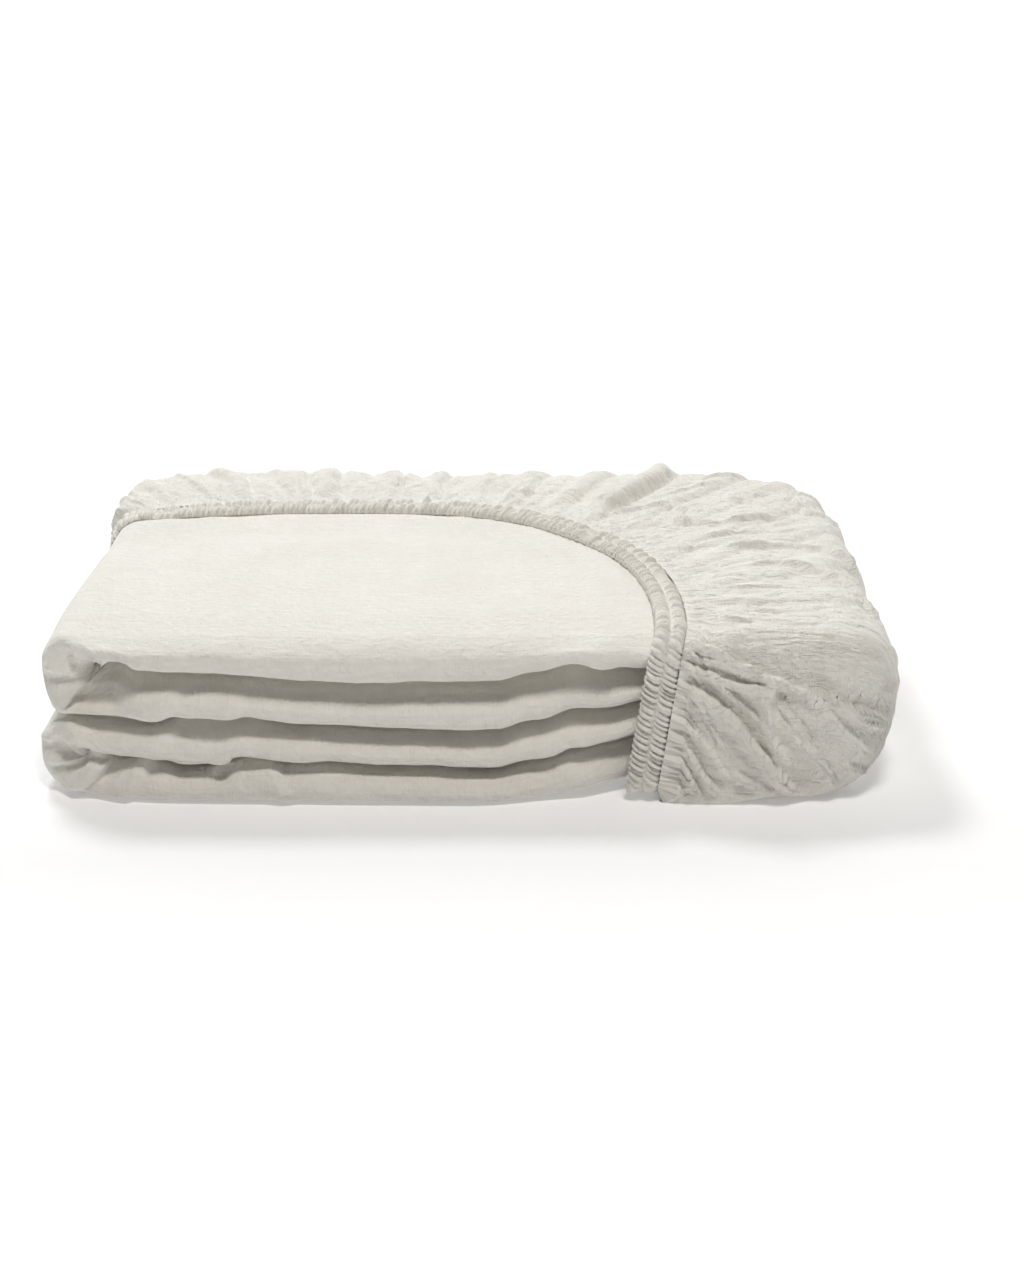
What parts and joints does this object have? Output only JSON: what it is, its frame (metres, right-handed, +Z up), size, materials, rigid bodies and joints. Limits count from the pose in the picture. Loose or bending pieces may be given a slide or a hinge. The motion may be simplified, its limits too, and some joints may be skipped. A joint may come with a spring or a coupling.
{
  "type": "folded fitted sheet",
  "caption": "Fitted bed sheet of crinkled muslin, folded into a thick pack with its elastic-bound gathered corner drawn over the back and one end.",
  "frame": {"origin": "centre of the pack's box, on the surface it rests on", "axes": "+X to the right along the folded front edges, +Y away from the front towards the gathered back, +Z up"},
  "size_m": [0.3288, 0.2455, 0.0724],
  "materials": {
    "muslin": "soft crinkled double gauze, off-white",
    "gathered_muslin": "gathered crinkled double gauze, off-white",
    "binding_cloth": "ruffled muslin casing over elastic, off-white"
  },
  "bodies": {
    "root": {"folded_panel": "muslin", "gathered_corner": "gathered_muslin", "elastic_binding": "binding_cloth"}
  },
  "joints": []
}
